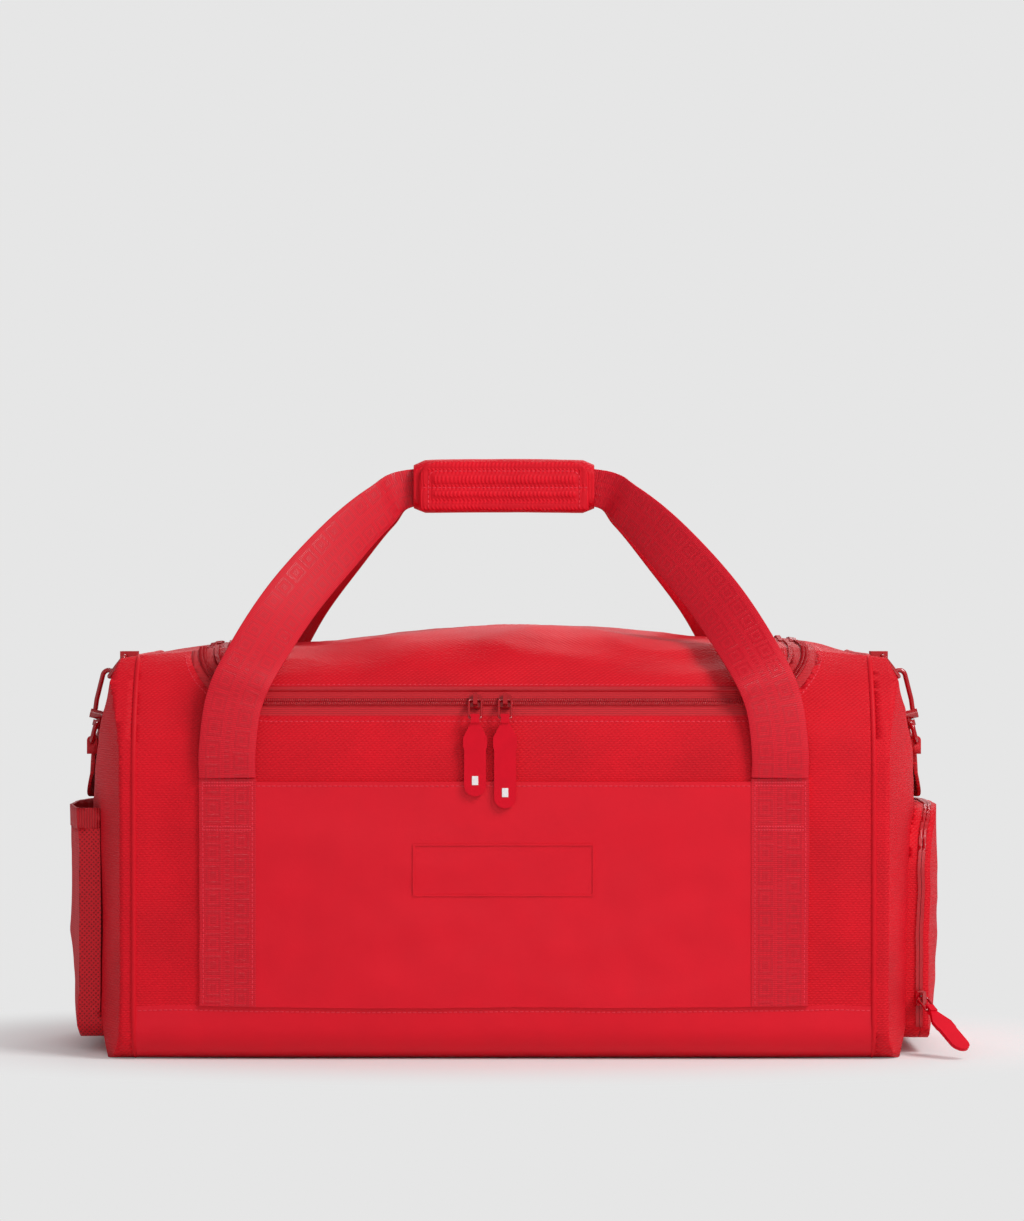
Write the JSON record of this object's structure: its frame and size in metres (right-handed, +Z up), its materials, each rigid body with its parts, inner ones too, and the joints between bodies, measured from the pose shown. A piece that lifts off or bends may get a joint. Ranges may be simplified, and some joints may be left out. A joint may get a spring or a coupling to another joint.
{
  "type": "sports duffel bag",
  "caption": "Soft rectangular holdall with a U-shaped zipped lid, carry loops joined by a padded grip, end pockets and a clip-on shoulder strap.",
  "frame": {"origin": "centre of the underside of the base, on the surface the bag stands on", "axes": "+X along the bag towards the shoe pocket, -Y the front with the overlay, +Z up"},
  "size_m": [0.613, 0.3007, 0.4045],
  "materials": {
    "shell_twill": "polyester twill",
    "coated_leathercloth": "smooth coated leathercloth",
    "strap_webbing": "woven webbing",
    "zip_tape_cloth": "knitted zip tape",
    "zip_coil_nylon": "spiral coil",
    "zip_metal": "gloss enamel",
    "pull_rubber": "soft moulded",
    "hardware_enamel": "gloss enamel",
    "buckle_plastic": "moulded",
    "stiffener_board": "flat sheet",
    "pocket_mesh": "knitted mesh",
    "elastic_band": "ribbed elastic",
    "piping_cloth": "folded binding"
  },
  "bodies": {
    "root": {"back_panel": "shell_twill", "back_webbing_left": "strap_webbing", "back_webbing_right": "strap_webbing", "badge_frame": "coated_leathercloth", "base_board": "stiffener_board", "base_panel": "coated_leathercloth", "body_zip_coil": "zip_coil_nylon", "body_zip_tape": "zip_tape_cloth", "bottle_pocket": "pocket_mesh", "end_panel_left": "shell_twill", "end_panel_right": "shell_twill", "front_overlay": "coated_leathercloth", "front_panel": "shell_twill", "front_webbing_left": "strap_webbing", "front_webbing_right": "strap_webbing", "pocket_band": "elastic_band", "ring_tab_left": "strap_webbing", "ring_tab_right": "strap_webbing", "shoe_coil_fixed": "zip_coil_nylon", "shoe_pocket_gusset": "shell_twill"},
    "lid": {"lid_panel": "shell_twill", "lid_zip_tape": "zip_tape_cloth", "lid_zip_coil": "zip_coil_nylon", "lid_piping": "piping_cloth"},
    "front_handle": {"front_handle_webbing": "strap_webbing", "grip_pad_front": "shell_twill"},
    "back_handle": {"back_handle_webbing": "strap_webbing", "grip_pad_back": "shell_twill"},
    "flap": {"grip_flap": "shell_twill"},
    "slider_left_body": {"slider_left": "zip_metal"},
    "slider_right_body": {"slider_right": "zip_metal"},
    "pull_left": {"pull_link_left": "zip_metal", "pull_tab_left": "pull_rubber"},
    "pull_right": {"pull_link_right": "zip_metal", "pull_tab_right": "pull_rubber"},
    "shoe_cover": {"shoe_pocket_cover": "shell_twill", "shoe_coil_cover": "zip_coil_nylon"},
    "shoe_slider_body": {"shoe_slider": "zip_metal"},
    "shoe_pull": {"shoe_pull_link": "zip_metal", "shoe_pull_tab": "pull_rubber"},
    "ring_left": {"d_ring_left": "hardware_enamel"},
    "ring_right": {"d_ring_right": "hardware_enamel"},
    "strap": {"shoulder_strap": "strap_webbing", "shoulder_pad": "shell_twill", "strap_adjuster": "buckle_plastic", "strap_end_left": "strap_webbing", "strap_end_right": "strap_webbing", "swivel_eye_left": "hardware_enamel", "swivel_eye_right": "hardware_enamel"},
    "hook_left": {"snap_hook_left": "hardware_enamel"},
    "hook_right": {"snap_hook_right": "hardware_enamel"},
    "gate_left": {"hook_gate_left": "hardware_enamel"},
    "gate_right": {"hook_gate_right": "hardware_enamel"}
  },
  "joints": [
    {"name": "lid_hinge", "type": "hinge", "parent": "root", "child": "lid", "pos_m": [0, 0.11985, 0.2507], "axis": [-1, 0, 0], "range_deg": [0, 105]},
    {"name": "front_handle_fold", "type": "hinge", "parent": "root", "child": "front_handle", "pos_m": [0, -0.14445, 0.18815], "axis": [1, 0, 0], "range_deg": [0, 147]},
    {"name": "back_handle_fold", "type": "hinge", "parent": "root", "child": "back_handle", "pos_m": [0, 0.14445, 0.18815], "axis": [-1, 0, 0], "range_deg": [0, 147]},
    {"name": "flap_hinge", "type": "hinge", "parent": "front_handle", "child": "flap", "pos_m": [0, -0.0157, 0.3695], "axis": [1, 0, 0], "range_deg": [0, 150]},
    {"name": "slider_left_travel", "type": "slide", "parent": "lid", "child": "slider_left_body", "axis": [-1, 0, 0], "range_m": [0, 0.13]},
    {"name": "slider_right_travel", "type": "slide", "parent": "lid", "child": "slider_right_body", "axis": [1, 0, 0], "range_m": [0, 0.148]},
    {"name": "pull_left_swing", "type": "hinge", "parent": "slider_left_body", "child": "pull_left", "pos_m": [-0.019, -0.13223, 0.24028], "axis": [-1, 0, 0], "range_deg": [0, 110]},
    {"name": "pull_right_swing", "type": "hinge", "parent": "slider_right_body", "child": "pull_right", "pos_m": [0.001, -0.13223, 0.24028], "axis": [-1, 0, 0], "range_deg": [0, 110]},
    {"name": "shoe_cover_hinge", "type": "hinge", "parent": "root", "child": "shoe_cover", "pos_m": [0.2816, 0, 0.01], "axis": [0, 1, 0], "range_deg": [0, 65]},
    {"name": "shoe_slider_travel", "type": "slide", "parent": "shoe_cover", "child": "shoe_slider_body", "axis": [0.1219, 0, 0.9925], "range_m": [0, 0.07]},
    {"name": "shoe_pull_swing", "type": "hinge", "parent": "shoe_slider_body", "child": "shoe_pull", "pos_m": [0.28284, -0.10232, 0.038], "axis": [-0.8192, -0.5736, 0], "range_deg": [0, 60]},
    {"name": "ring_left_swing", "type": "hinge", "parent": "root", "child": "ring_left", "pos_m": [-0.264, 0, 0.268], "axis": [0, 1, 0], "range_deg": [-5, 0.5]},
    {"name": "ring_right_swing", "type": "hinge", "parent": "root", "child": "ring_right", "pos_m": [0.264, 0, 0.268], "axis": [0, -1, 0], "range_deg": [-5, 0.5]},
    {"name": "strap_swing", "type": "hinge", "parent": "root", "child": "strap", "pos_m": [0, 0, 0.254], "axis": [1, 0, 0], "range_deg": [0, 25]},
    {"name": "hook_left_swivel", "type": "hinge", "parent": "strap", "child": "hook_left", "pos_m": [-0.28326, 0, 0.22102], "axis": [-0.243, 0, -0.97], "range_deg": [-20, 20]},
    {"name": "hook_right_swivel", "type": "hinge", "parent": "strap", "child": "hook_right", "pos_m": [0.28326, 0, 0.22102], "axis": [0.243, 0, -0.97], "range_deg": [-20, 20]},
    {"name": "gate_left_hinge", "type": "hinge", "parent": "hook_left", "child": "gate_left", "pos_m": [-0.2755, 0, 0.22938], "axis": [0, -1, 0], "range_deg": [0, 20], "stiffness_Nm_per_rad": 0.02, "springref_deg": -5.73},
    {"name": "gate_right_hinge", "type": "hinge", "parent": "hook_right", "child": "gate_right", "pos_m": [0.2755, 0, 0.22938], "axis": [0, 1, 0], "range_deg": [0, 20], "stiffness_Nm_per_rad": 0.02, "springref_deg": -5.73}
  ],
  "couplings": [
    {"joint": "front_handle_fold", "follows": "lid_hinge", "ratio": 1.4},
    {"joint": "back_handle_fold", "follows": "lid_hinge", "ratio": 1.4}
  ]
}
